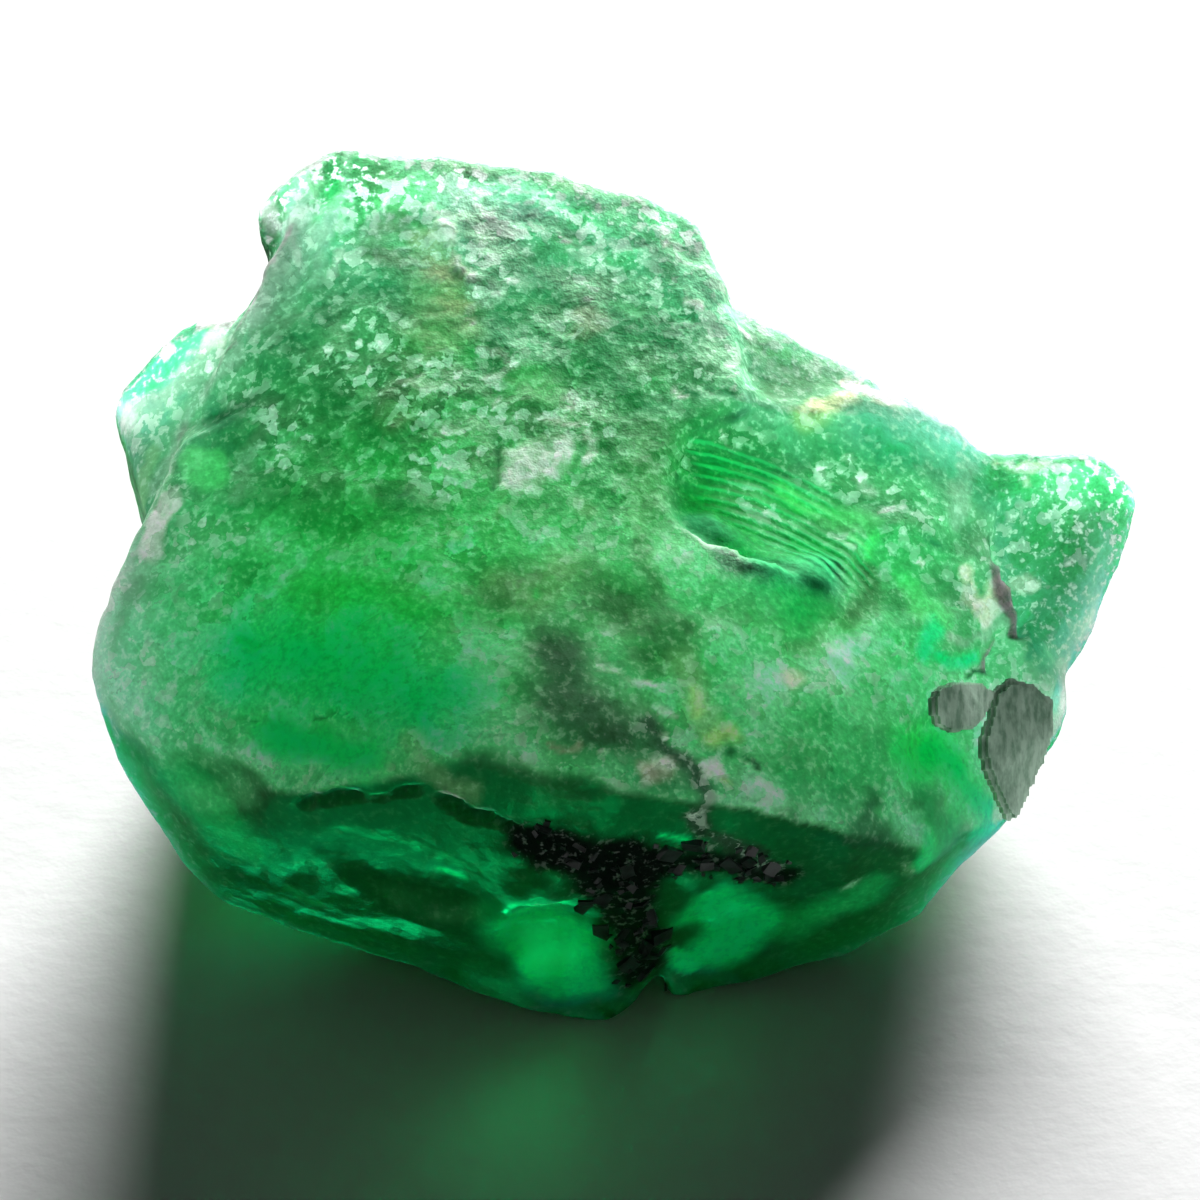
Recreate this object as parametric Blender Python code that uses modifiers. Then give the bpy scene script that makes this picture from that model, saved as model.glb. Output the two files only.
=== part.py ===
"""A raw emerald: one broken lump of translucent green beryl, 15 mm across, resting on a flat cleavage face.

Several crystals grew together here, so each is a chunk with flat faces and all of them are one solid. Broken
hollows are bitten out of it, its edges are worn, and the underside is cut flat. Millimetres are used while
shaping, and the finished stone is scaled to metres. +Z is up and -Y is the front.
"""
import math

import bmesh
import bpy
from mathutils import Matrix, Vector, noise

VOXEL = 0.13  # mm, grid that fuses the chunks into one skin
SOFTEN = 3  # smoothing passes that wear the edges
GRAIN = 0.055  # mm, depth of the uneven surface
GRAIN_SIZE = 0.9  # mm, size of its bumps
TRIANGLES = 8600  # after thinning the skin
MILLIMETRE = 0.001
GREEN = (0.03, 0.36, 0.15, 1.0)

# Each chunk is the hull of its corners, in mm.
CHUNKS = {
    "body": [
        (-3.71, 4.9, 8.25), (-2.3, 4.75, 8.25), (-1.1, 4.75, 8.1), (0.6, 4.45, 7.8), (1.45, 4.15, 7.4),
        (1.8, 3.35, 6.9), (-4.9, 2.6, 7.2), (-5.3, 2.0, 6.95), (-6.35, -0.3, 5.75), (-6.9, -1.2, 5.1),
        (-7.25, -1.8, 4.3), (-7.1, -2.2, 3.85), (-6.7, -2.65, 2.9), (-5.95, -3.0, 1.65), (-5.4, -3.2, 1.0),
        (-4.1, -3.5, 0.7), (-2.4, -3.95, 0.35), (-0.6, -4.6, 0.05), (0.05, -4.6, -0.1), (0.35, -4.3, -0.2),
        (-5.55, -3.95, 3.7), (-4.2, -4.65, 4.3), (-2.8, -5.05, 5.0), (-2.0, -5.15, 5.5), (-0.6, -5.3, 5.55),
        (-2.6, -4.75, 2.2), (-0.9, -5.35, 3.2),
        (0.6, -5.4, 4.95), (2.2, -5.0, 4.4), (2.5, -0.5, 6.1), (0.6, 0.9, 6.9), (-4.7, 5.3, 5.0),
        (-2.4, 5.9, 3.4), (1.2, 5.6, 4.2), (-5.0, 4.6, 1.4), (1.6, 4.8, 0.6), (-4.0, 3.4, -0.3),
        (-6.4, 0.4, 1.9), (-6.1, 2.4, 1.2), (-5.5, 1.6, -0.3), (-5.2, -1.2, -0.3),
        (2.2, 3.4, -0.3), (-3.6, -1.4, -0.3),
    ],
    "peak": [
        (-4.25, 4.6, 8.2), (-4.8, 4.25, 8.0), (-4.95, 4.0, 7.75), (-4.8, 3.85, 7.45), (-4.65, 3.5, 7.3),
        (-3.75, 4.85, 8.3), (-3.6, 3.6, 7.6), (-4.5, 4.9, 6.6), (-3.4, 4.9, 6.8), (-4.6, 3.8, 6.4),
        (-3.2, 3.6, 6.6),
    ],
    "prism": [
        (-3.72, 4.95, 8.45), (-3.45, 4.85, 8.4), (-3.1, 4.6, 8.25), (-3.55, 3.7, 7.95), (-4.2, 2.75, 7.5),
        (-4.7, 2.3, 7.15), (-5.1, 2.2, 7.1), (-4.75, 3.1, 7.65), (-4.25, 4.2, 8.1), (-3.4, 4.2, 7.6),
        (-4.6, 2.4, 6.6), (-4.3, 3.4, 7.0),
    ],
    "left_crystal": [
        (-5.05, 2.7, 6.85), (-5.65, 3.2, 6.5), (-6.0, 3.2, 6.3), (-6.45, 3.0, 6.0), (-6.8, 2.8, 5.65),
        (-6.98, 2.6, 5.25), (-6.85, 2.3, 4.9), (-6.6, 2.0, 4.75), (-6.55, 1.2, 4.7), (-6.4, 0.3, 5.2),
        (-5.4, 0.4, 5.9), (-5.0, 4.4, 4.6), (-6.1, 3.6, 3.4), (-6.2, 0.9, 2.8), (-4.4, 3.6, 6.0),
        (-4.2, 0.6, 3.0), (-4.4, 3.6, 2.4),
    ],
    "shoulder": [
        (1.6, 3.5, 6.75), (2.3, 3.25, 6.5), (3.55, 2.65, 6.0), (4.35, 2.45, 5.7), (4.8, 2.3, 5.45),
        (5.15, 2.25, 5.25), (5.5, 2.05, 4.9), (0.7, 0.6, 6.8), (2.5, -0.5, 6.1), (0.5, -2.5, 6.0), (0.4, -4.6, 5.2), (1.4, -5.2, 4.6),
        (2.4, -5.0, 4.25), (3.5, -4.6, 3.5), (4.5, -3.9, 2.6), (5.75, -2.2, 1.7), (5.45, -0.6, 3.8),
        (4.9, -2.6, 1.0), (4.5, -3.1, 0.6), (3.5, -3.6, 0.35), (1.7, -3.95, 0.05), (0.95, -4.05, -0.1),
        (3.6, -1.6, -0.3), (4.0, 2.4, -0.3), (5.4, 3.8, 2.6), (2.0, 5.0, 3.0), (0.5, 4.0, -0.3),
    ],
    "side_crystal": [
        (5.0, 2.2, 4.9), (5.7, 2.15, 4.85), (6.2, 2.1, 4.85), (7.25, 2.2, 4.75), (7.65, 2.0, 4.5),
        (7.7, 1.85, 4.2), (7.6, 1.55, 3.85), (7.2, 1.0, 3.0), (6.95, 0.45, 2.75), (6.8, 0.15, 2.5),
        (6.4, -0.2, 2.6), (5.7, -0.3, 3.6), (5.1, -0.1, 4.0), (6.9, 3.4, 2.8), (4.4, 4.0, 3.2),
        (4.2, 0.0, 1.2), (5.8, 1.4, 0.9),
    ],
    "foot": [
        (5.4, -0.3, 3.75), (6.1, -0.3, 3.1), (6.75, -0.1, 2.5), (6.7, -0.5, 2.25), (6.5, -0.8, 2.0),
        (6.1, -1.5, 1.85), (5.8, -2.1, 1.6), (5.2, -2.4, 1.2), (5.0, -1.6, 3.4), (5.6, -1.9, 2.6),
        (4.2, -1.0, 0.2), (5.2, 1.4, 0.3), (6.2, 0.6, 1.2), (3.8, 0.4, 3.4),
    ],
}

# Broken hollows: a point on the skin, the way it faces, half length, half width and depth in mm, and its
# turn in degrees about the way it faces.
HOLLOWS = {
    "bowl": ((2.8, 0.2, 5.68), (0.36, -0.28, 0.9), (1.95, 1.25, 0.17), -28),
    "bowl_end": ((3.9, -0.6, 4.95), (0.5, -0.3, 0.81), (0.9, 0.8, 0.16), 10),
    "saddle": ((3.0, 2.5, 6.15), (0.3, -0.15, 0.94), (1.2, 0.6, 0.10), -30),
    "left_step": ((-5.5, 1.35, 6.4), (-0.6, -0.2, 0.75), (1.2, 0.45, 0.2), 75),
    "side_face": ((6.35, 0.85, 3.9), (0.06, -0.67, 0.74), (0.8, 1.2, 0.14), -6),
    "window": ((4.75, -2.65, 3.3), (0.7, -0.42, 0.58), (0.95, 0.6, 0.2), 20),
    "shelf": ((-0.2, -4.95, 5.55), (0.1, -0.7, 0.7), (1.5, 0.35, 0.16), 4),
    "left_front": ((-5.6, -3.75, 3.6), (-0.5, -0.8, 0.2), (1.1, 0.9, 0.16), 10),
    "front_middle": ((-2.9, -4.75, 2.9), (-0.2, -0.95, -0.15), (1.5, 0.9, 0.2), -14),
    "front_right": ((2.1, -4.45, 1.7), (0.25, -0.93, -0.25), (1.3, 0.7, 0.18), 8),
    "front_dip": ((-0.6, -4.9, 1.9), (0.0, -1.0, -0.1), (0.8, 0.8, 0.10), 0),
    "notch": ((0.55, -4.6, 0.15), (0.3, -0.9, -0.3), (0.35, 0.45, 0.3), 0),
    "low_left": ((-6.6, -1.2, 1.9), (-0.9, -0.3, -0.3), (1.3, 0.6, 0.14), 30),
    "back_high": ((-1.6, 5.6, 5.6), (-0.1, 0.9, 0.4), (2.2, 1.3, 0.4), 10),
    "back_low": ((0.9, 5.4, 2.2), (0.2, 0.95, -0.2), (1.9, 1.1, 0.3), -20),
    "back_left": ((-4.9, 4.0, 2.6), (-0.7, 0.7, 0.1), (1.4, 0.9, 0.3), 15),
    "back_right": ((4.2, 4.2, 3.4), (0.3, 0.9, 0.3), (1.4, 0.8, 0.25), -12),
}


def new_object(name, mesh):
    made = bpy.data.objects.new(name, mesh)
    bpy.context.scene.collection.objects.link(made)
    return made


def chunk(name, corners):
    """The hull of the corners, as a mesh object."""
    shape = bmesh.new()
    for corner in corners:
        shape.verts.new(corner)
    hull = bmesh.ops.convex_hull(shape, input=shape.verts)
    spare = set(hull["geom_interior"]) | set(hull["geom_unused"])
    inside = [item for item in spare if isinstance(item, bmesh.types.BMVert)]
    bmesh.ops.delete(shape, geom=inside, context="VERTS")
    bmesh.ops.recalc_face_normals(shape, faces=shape.faces)
    mesh = bpy.data.meshes.new(name)
    shape.to_mesh(mesh)
    shape.free()
    return new_object(name, mesh)


def hollow(middle, facing, sizes, turn):
    """The rounded tool that leaves one hollow: it stands half its height out of the skin."""
    long, wide, deep = sizes
    way = Vector(facing).normalized()
    aim = way.to_track_quat("Z", "Y").to_matrix().to_4x4()
    spin = Matrix.Rotation(math.radians(turn), 4, "Z")
    place = Matrix.Translation(Vector(middle) + way * deep) @ aim @ spin
    size = Matrix.Diagonal((long * 1.15, wide * 1.15, deep * 2, 1.0))
    shape = bmesh.new()
    bmesh.ops.create_icosphere(shape, subdivisions=4, radius=1.0, matrix=place @ size)
    mesh = bpy.data.meshes.new("hollow")
    shape.to_mesh(mesh)
    shape.free()
    return new_object("hollow", mesh)


def settle(owner):
    """Turns the modifiers of the object into its mesh."""
    graph = bpy.context.evaluated_depsgraph_get()
    mesh = bpy.data.meshes.new_from_object(owner.evaluated_get(graph))
    owner.modifiers.clear()
    owner.data = mesh


def combine(stone, tool, operation):
    boolean = stone.modifiers.new(operation, "BOOLEAN")
    boolean.operation = operation
    boolean.solver = "EXACT"
    boolean.object = tool
    settle(stone)
    bpy.data.objects.remove(tool)


def skin(stone):
    """One even skin over the joined chunks, with its edges worn."""
    remesh = stone.modifiers.new("Skin", "REMESH")
    remesh.mode = "VOXEL"
    remesh.voxel_size = VOXEL
    smooth = stone.modifiers.new("Worn", "SMOOTH")
    smooth.factor = 0.5
    smooth.iterations = SOFTEN
    settle(stone)


def roughen(stone):
    """Uneven growth: broad bumps all over, which the fine grain of the finish sits on."""
    directions = [point.normal.copy() for point in stone.data.vertices]
    for point, direction in zip(stone.data.vertices, directions):
        rise = noise.fractal(point.co / GRAIN_SIZE, 1.0, 2.0, 3)
        point.co += direction * rise * GRAIN
    thin = stone.modifiers.new("Thin", "DECIMATE")
    faces = sum(len(face.vertices) - 2 for face in stone.data.polygons)
    thin.ratio = TRIANGLES / faces
    settle(stone)


def rest_flat(stone):
    """Cuts the underside at Z = 0 and closes it with one flat face."""
    shape = bmesh.new()
    shape.from_mesh(stone.data)
    everything = shape.verts[:] + shape.edges[:] + shape.faces[:]
    cut = bmesh.ops.bisect_plane(
        shape, geom=everything, dist=0.0005, plane_co=(0, 0, 0), plane_no=(0, 0, -1), clear_outer=True
    )
    rim = [item for item in cut["geom_cut"] if isinstance(item, bmesh.types.BMEdge)]
    bmesh.ops.contextual_create(shape, geom=rim)
    bmesh.ops.triangulate(shape, faces=shape.faces)
    bmesh.ops.recalc_face_normals(shape, faces=shape.faces)
    shape.to_mesh(stone.data)
    shape.free()


def centre_and_scale(stone):
    """Puts the middle of the box over the origin, and turns millimetres into metres."""
    corners = [Vector(corner) for corner in stone.bound_box]
    middle = (min(c.x for c in corners) + max(c.x for c in corners)) / 2
    depth = (min(c.y for c in corners) + max(c.y for c in corners)) / 2
    stone.data.transform(Matrix.Translation((-middle, -depth, 0)))
    stone.data.transform(Matrix.Diagonal((MILLIMETRE, MILLIMETRE, MILLIMETRE, 1)))


def finish(stone):
    """Names the stone, gives it its green, and puts it in a collection of its own."""
    green = bpy.data.materials.new("beryl_green")
    green.use_nodes = True
    shader = green.node_tree.nodes["Principled BSDF"]
    shader.inputs["Base Color"].default_value = GREEN
    shader.inputs["Roughness"].default_value = 0.35
    shader.inputs["Metallic"].default_value = 0.0
    stone.data.materials.clear()
    stone.data.materials.append(green)
    stone.name = "emerald"
    stone.data.name = "emerald"
    home = bpy.data.collections.new("raw_emerald")
    bpy.context.scene.collection.children.link(home)
    bpy.context.scene.collection.objects.unlink(stone)
    home.objects.link(stone)


def main():
    for leftover in list(bpy.data.objects):
        bpy.data.objects.remove(leftover)
    pieces = [chunk(name, corners) for name, corners in CHUNKS.items()]
    stone = pieces[0]
    for piece in pieces[1:]:
        combine(stone, piece, "UNION")
    for middle, facing, sizes, turn in HOLLOWS.values():
        combine(stone, hollow(middle, facing, sizes, turn), "DIFFERENCE")
    skin(stone)
    roughen(stone)
    rest_flat(stone)
    centre_and_scale(stone)
    finish(stone)


main()
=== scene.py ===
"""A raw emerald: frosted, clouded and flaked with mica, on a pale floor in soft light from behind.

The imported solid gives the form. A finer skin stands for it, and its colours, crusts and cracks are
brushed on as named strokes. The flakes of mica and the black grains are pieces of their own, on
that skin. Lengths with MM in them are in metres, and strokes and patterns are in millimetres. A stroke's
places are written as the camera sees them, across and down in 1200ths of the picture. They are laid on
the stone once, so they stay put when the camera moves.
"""
import math
import random

import bpy
import numpy as np
from mathutils import Matrix, Vector, noise
from mathutils.bvhtree import BVHTree


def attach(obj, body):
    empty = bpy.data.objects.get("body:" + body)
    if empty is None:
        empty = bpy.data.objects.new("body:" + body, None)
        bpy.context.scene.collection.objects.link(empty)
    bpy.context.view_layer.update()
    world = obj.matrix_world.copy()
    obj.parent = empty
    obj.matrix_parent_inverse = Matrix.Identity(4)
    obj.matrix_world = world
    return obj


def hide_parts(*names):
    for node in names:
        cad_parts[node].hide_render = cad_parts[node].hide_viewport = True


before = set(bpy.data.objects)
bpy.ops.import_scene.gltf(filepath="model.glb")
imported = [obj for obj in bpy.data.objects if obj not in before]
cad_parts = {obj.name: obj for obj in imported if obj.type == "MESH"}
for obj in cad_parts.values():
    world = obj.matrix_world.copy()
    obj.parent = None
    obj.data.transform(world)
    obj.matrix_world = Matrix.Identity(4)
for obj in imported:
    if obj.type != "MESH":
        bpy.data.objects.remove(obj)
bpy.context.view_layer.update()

MM = 0.001
TINY = 1e-9
WELD = 1e-7
SKIN_VOXEL = 0.075 * MM
FLOOR_SIZE = 2.0
NOISE_SEED = 12

# The camera looks down at a place in the stone's middle. Its picture is PICTURE units across.
PICTURE = 1200
PICTURE_WIDTH = 17.03 * MM
MIDDLE = Vector((-0.271 * MM, -0.249 * MM, 0.0))
CAMERA_HEIGHT = 3.92 * MM
CAMERA_DISTANCE = 160 * MM
CAMERA_ELEVATION = math.radians(40)
SENSOR = 36.0
NEAREST = 1 * MM
FARTHEST = 10.0

# The key light is low behind the stone, and a weak fill comes from all round.
KEY_ELEVATION = math.radians(18)
KEY_TURN = math.radians(10)
KEY_DISTANCE = 300 * MM
KEY_SIZE = 150 * MM
KEY_POWER = 3.15
FILL = 0.035
FILL_COLOUR = (0.93, 1.0, 0.97, 1.0)

TO_EYE = Vector((0, -math.cos(CAMERA_ELEVATION), math.sin(CAMERA_ELEVATION)))
PICTURE_UP = Vector((0, math.sin(CAMERA_ELEVATION), math.cos(CAMERA_ELEVATION)))
TARGET = MIDDLE + Vector((0, 0, CAMERA_HEIGHT))
EYE = TARGET + TO_EYE * CAMERA_DISTANCE
TO_KEY = Vector((
    math.sin(KEY_TURN) * math.cos(KEY_ELEVATION),
    math.cos(KEY_TURN) * math.cos(KEY_ELEVATION),
    math.sin(KEY_ELEVATION),
))

# Each coat is the colour it shows (red, green, blue out of 255), how clear and how frosted it is.
COATS = {
    "leaf": ((78, 165, 108), 0.00, 0.50),
    "pale leaf": ((118, 190, 138), 0.00, 0.75),
    "fern": ((38, 132, 78), 0.00, 0.25),
    "moss": ((125, 198, 125), 0.00, 0.25),
    "dark moss": ((92, 145, 98), 0.00, 0.40),
    "mint": ((160, 215, 180), 0.00, 0.20),
    "ice": ((215, 238, 222), 0.00, 0.60),
    "pewter": ((135, 172, 146), 0.00, 0.35),
    "teal": ((95, 170, 135), 0.00, 0.25),
    "frost": ((214, 232, 212), 0.00, 1.00),
    "sugar": ((130, 188, 145), 0.00, 1.00),
    "cream": ((222, 236, 196), 0.00, 0.80),
    "straw": ((160, 200, 125), 0.00, 0.50),
    "lime": ((95, 215, 125), 0.03, 0.10),
    "pale lime": ((135, 222, 150), 0.00, 0.20),
    "emerald": ((16, 150, 74), 0.06, 0.05),
    "smooth": ((2, 228, 134), 0.10, 0.00),
    "vivid": ((2, 242, 132), 0.35, 0.00),
    "spring": ((2, 228, 98), 0.16, 0.00),
    "glow": ((4, 250, 98), 1.00, 0.00),
    "bottle": ((12, 100, 54), 0.16, 0.05),
    "deep": ((3, 58, 22), 0.05, 0.05),
    "ink": ((2, 50, 28), 0.05, 0.10),
    "soot": ((5, 14, 9), 0.00, 0.30),
    "char": ((42, 62, 50), 0.00, 0.70),
    "smoke": ((46, 78, 54), 0.00, 0.30),
    "haze": ((50, 102, 60), 0.00, 0.30),
    "sage": ((108, 150, 108), 0.00, 0.50),
    "buff": ((150, 152, 132), 0.00, 1.00),
    "back": ((60, 140, 90), 0.86, 0.05),
    "bed": ((10, 90, 50), 0.6, 0.00),
}
# A stroke has a coat, how strongly it covers (1 is wholly), its half width, how soft its edge is (1 is
# softest) and the places it runs through. They are laid in this order, each over those before it.
STROKES = {
    # peak, prism and the lumps at the left
    "prism face": (
        "pewter", 0.75, 0.20, 0.6, (316, 160), (300, 205), (284, 245), (266, 290), (250, 325),
    ),
    "prism face foot": (
        "pewter", 0.7, 0.14, 0.6, (232, 352), (212, 378), (192, 408), (172, 445), (156, 490),
    ),
    "prism green": ("emerald", 0.6, 0.16, 0.8, (336, 160), (326, 190), (350, 165)),
    "prism line": ("fern", 0.85, 0.06, 0.6, (318, 185), (312, 225), (303, 262), (294, 296)),
    "prism band": ("mint", 0.75, 0.10, 0.5, (334, 198), (329, 232), (321, 262), (311, 288)),
    "prism second band": ("mint", 0.5, 0.09, 0.7, (346, 150), (348, 190), (345, 235)),
    "prism nick": ("bottle", 0.7, 0.05, 0.7, (361, 200), (359, 226)),
    "prism crumbs": ("frost", 0.8, 0.06, 0.5, (344, 256), (337, 267), (331, 275)),
    "tab": ("leaf", 0.8, 0.35, 0.5, (282, 192), (268, 208), (276, 225)),
    "tab window": ("ice", 0.9, 0.12, 0.6, (268, 214), (275, 232)),
    "tab rim": ("teal", 0.7, 0.05, 0.7, (252, 206), (258, 226), (268, 240)),
    "left lump": ("fern", 0.85, 0.42, 0.6, (135, 385), (160, 362), (195, 338)),
    "left lump glow": ("pale leaf", 0.6, 0.22, 0.7, (200, 362), (184, 382), (158, 402), (140, 415)),
    "left lump spark": ("ice", 0.9, 0.10, 0.7, (134, 424), (126, 418)),
    "left lump rim": ("fern", 0.5, 0.07, 0.8, (116, 410), (122, 432)),
    "left crust": ("cream", 0.95, 0.17, 0.3, (206, 324), (228, 324), (222, 340), (214, 346)),
    "left crumb": ("cream", 0.9, 0.06, 0.4, (163, 348), (168, 350)),
    "left neck": ("moss", 0.7, 0.14, 0.6, (150, 450), (145, 475), (142, 500)),
    "left window edge": ("fern", 0.6, 0.32, 0.6, (215, 420), (235, 440), (190, 440)),
    "left window": ("lime", 0.95, 0.20, 0.4, (192, 455), (214, 458), (196, 474), (212, 476)),
    "left window shade": ("bottle", 0.6, 0.08, 0.8, (212, 410), (226, 422)),
    "left band": ("pewter", 0.55, 0.12, 0.7, (266, 412), (256, 440), (246, 468), (240, 492)),
    "left corner": ("ink", 0.7, 0.05, 0.7, (168, 492), (178, 486)),

    # upper surface
    "crown rim": (
        "dark moss", 0.55, 0.13, 0.8, (460, 168), (505, 165), (545, 176), (590, 190), (640, 200),
    ),
    "crown": ("teal", 0.5, 0.25, 0.9, (490, 190), (550, 200), (500, 220)),
    "crown shoulder": ("leaf", 0.5, 0.30, 0.8, (700, 240), (708, 275), (690, 225)),
    "crown left": ("dark moss", 0.6, 0.30, 0.9, (385, 185), (392, 215), (380, 250), (400, 262)),
    "soft yellow": ("moss", 0.85, 0.42, 0.8, (440, 295), (448, 325), (425, 350)),
    "soft yellow heart": ("lime", 0.5, 0.10, 0.8, (470, 348), (470, 366)),
    "soft yellow middle": ("pale lime", 0.7, 0.22, 0.9, (520, 384), (548, 386)),
    "fern left": ("fern", 0.55, 0.28, 0.9, (300, 335), (320, 370), (336, 400), (320, 435)),
    "fern low left": ("fern", 0.6, 0.35, 0.9, (292, 505), (345, 512), (400, 500)),
    "fern middle": ("fern", 0.6, 0.25, 0.9, (430, 500), (465, 505)),
    "fern crown": ("fern", 0.7, 0.16, 0.7, (525, 275), (545, 286), (552, 296)),
    "fern high": ("emerald", 0.5, 0.20, 0.9, (540, 250), (565, 258)),
    "fern under plate": ("fern", 0.7, 0.12, 0.8, (505, 316), (500, 300)),
    "fern right": ("fern", 0.5, 0.25, 0.9, (620, 345), (600, 360), (640, 405), (632, 430)),
    "fern band": ("fern", 0.6, 0.05, 0.7, (612, 312), (640, 322), (668, 345)),
    "streak": ("cream", 1.0, 0.065, 0.4, (426, 206), (433, 220), (441, 230), (447, 242)),
    "streak lower": ("cream", 0.95, 0.06, 0.5, (455, 252), (461, 262), (466, 271)),
    "streak crumbs": ("frost", 0.9, 0.09, 0.6, (474, 278), (469, 292)),
    "streak tail": ("cream", 0.8, 0.06, 0.7, (470, 303), (472, 322)),
    "streak glow": ("straw", 0.6, 0.22, 0.9, (425, 240), (448, 270), (455, 300)),
    "pale plate": ("ice", 0.45, 0.17, 0.5, (492, 285), (488, 296)),
    "crust line": (
        "frost", 1.0, 0.045, 0.5, (423, 378), (433, 374), (444, 372), (455, 379), (463, 371),
    ),
    "crust hook": ("frost", 1.0, 0.06, 0.5, (482, 352), (498, 355), (506, 368), (497, 377), (484, 377)),
    "crust dots": ("frost", 0.9, 0.04, 0.5, (497, 396), (495, 398)),
    "crown dots": ("frost", 0.9, 0.04, 0.5, (508, 279), (512, 280)),
    "crown dashes": ("frost", 0.7, 0.035, 0.6, (531, 201), (548, 204)),
    "crown specks": ("frost", 0.7, 0.04, 0.6, (561, 236), (576, 240)),
    "top specks": ("frost", 0.85, 0.07, 0.6, (669, 230), (672, 246)),
    "top speck": ("frost", 1.0, 0.055, 0.5, (678, 279), (682, 285)),
    "top crumbs": ("frost", 0.6, 0.07, 0.7, (684, 297), (697, 306)),
    "left crumbs": ("frost", 0.85, 0.055, 0.6, (381, 331), (387, 344)),
    "left crumbs low": ("frost", 0.7, 0.045, 0.6, (314, 338), (322, 344)),
    "left crumbs high": ("frost", 0.7, 0.045, 0.6, (356, 318), (362, 322)),
    "round plate": ("sage", 0.7, 0.34, 0.25, (400, 400), (404, 412)),
    "speckled field": ("sugar", 0.6, 0.42, 0.8, (445, 420), (462, 450), (440, 478)),
    "speckled left": ("sugar", 0.55, 0.30, 0.9, (275, 420), (300, 430), (290, 450)),
    "speckled crown": ("sugar", 0.5, 0.40, 0.9, (455, 195), (480, 225), (500, 250)),
    # Painted reflection: the flat plate painted white where it mirrors the key light.
    "plate reflection": ("frost", 0.85, 0.30, 0.5, (520, 470), (548, 452)),
    "plate shade": ("bottle", 0.6, 0.06, 0.7, (492, 440), (494, 470), (486, 500)),
    "plate crumbs": ("frost", 0.85, 0.075, 0.6, (592, 440), (594, 454), (588, 464)),
    "middle crumbs": ("frost", 0.9, 0.075, 0.6, (572, 392), (578, 404)),
    "middle crumbs low": ("frost", 0.6, 0.07, 0.7, (548, 414), (570, 422), (588, 430)),
    "middle frost": ("sugar", 0.5, 0.35, 0.9, (560, 405), (600, 420), (530, 415)),
    "low crumbs": ("sage", 0.7, 0.10, 0.7, (496, 492), (504, 510), (492, 516)),
    "low dots": ("sage", 0.8, 0.08, 0.6, (442, 524), (438, 534), (452, 540)),
    "round sage": ("sage", 0.5, 0.14, 0.5, (580, 504), (586, 508)),
    "grey plate": ("sage", 0.7, 0.22, 0.3, (578, 314), (590, 316), (580, 330)),
    "grey plate edge": ("frost", 0.6, 0.03, 0.5, (582, 298), (612, 297)),
    "lime stripe": ("pale lime", 0.7, 0.04, 0.6, (596, 278), (606, 285), (617, 289)),
    "lime stripe low": ("lime", 0.8, 0.065, 0.6, (618, 303), (632, 307), (645, 313)),
    "lime stripe lower": ("mint", 0.6, 0.055, 0.7, (652, 326), (665, 334), (676, 337)),
    "right dashes": ("frost", 0.7, 0.035, 0.6, (655, 376), (665, 386), (676, 397)),
    "right pit": ("bottle", 0.8, 0.06, 0.6, (682, 392), (690, 398)),
    "right pit line": ("bottle", 0.7, 0.05, 0.6, (706, 392), (726, 392)),
    "right lime": ("straw", 0.8, 0.03, 0.5, (683, 375), (690, 382)),
    "right spark": ("frost", 0.9, 0.035, 0.5, (728, 389), (740, 392)),
    "white dot": ("frost", 1.0, 0.03, 0.4, (612, 442), (614, 442)),
    "lower sparks": ("frost", 0.9, 0.035, 0.5, (725, 432), (732, 440), (739, 446)),
    "right moss": ("dark moss", 0.5, 0.30, 0.9, (650, 430), (640, 470), (650, 500), (640, 520)),
    "right moss shade": ("bottle", 0.6, 0.07, 0.8, (672, 474), (690, 492)),

    # saddle, shoulder and the bowl under them
    "saddle": ("haze", 0.8, 0.40, 0.7, (765, 350), (795, 368), (825, 378), (780, 395)),
    "saddle crumbs": ("frost", 0.75, 0.045, 0.6, (736, 325), (744, 336), (754, 339)),
    "saddle rim": ("sage", 0.6, 0.05, 0.7, (745, 312), (790, 335), (830, 362)),
    "saddle crust": ("cream", 1.0, 0.12, 0.5, (846, 386), (868, 394), (890, 403)),
    "saddle sparks": ("frost", 1.0, 0.04, 0.4, (848, 417), (858, 413)),
    "saddle straw": ("straw", 0.85, 0.15, 0.7, (802, 418), (818, 412), (842, 402)),
    "shoulder left": ("teal", 0.55, 0.22, 0.8, (745, 405), (772, 425), (800, 450)),
    "shoulder": ("teal", 0.75, 0.34, 0.7, (860, 432), (900, 432), (940, 440), (962, 452)),
    "shoulder shade": ("fern", 0.5, 0.22, 0.8, (870, 455), (910, 462), (935, 480)),
    "shoulder sugar": ("frost", 0.8, 0.09, 0.7, (822, 474), (830, 485)),
    "shoulder sugar high": ("frost", 0.6, 0.06, 0.7, (846, 462), (856, 464)),
    "shoulder sugar low": ("frost", 0.85, 0.08, 0.7, (862, 480), (870, 490)),
    "shoulder streak": ("frost", 1.0, 0.04, 0.4, (878, 510), (888, 505), (901, 505)),
    "shoulder dot": ("frost", 0.9, 0.04, 0.5, (921, 563), (922, 564)),
    "shoulder rib": ("pewter", 0.75, 0.17, 0.5, (968, 470), (960, 492), (950, 515)),
    "shoulder rib spark": ("ice", 1.0, 0.05, 0.5, (960, 464), (962, 468)),
    "shoulder fold": ("haze", 0.6, 0.20, 0.8, (985, 490), (978, 525), (960, 545)),
    "bowl": ("emerald", 0.95, 0.55, 0.5, (710, 520), (750, 555), (800, 590), (810, 560)),
    "bowl top": ("emerald", 0.85, 0.25, 0.6, (712, 465), (750, 470), (790, 500)),
    "bowl shade": ("bottle", 0.5, 0.35, 0.9, (730, 600), (790, 610), (835, 600)),
    "bowl bright": ("lime", 0.9, 0.17, 0.7, (785, 492), (812, 508), (842, 520), (868, 524)),
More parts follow.
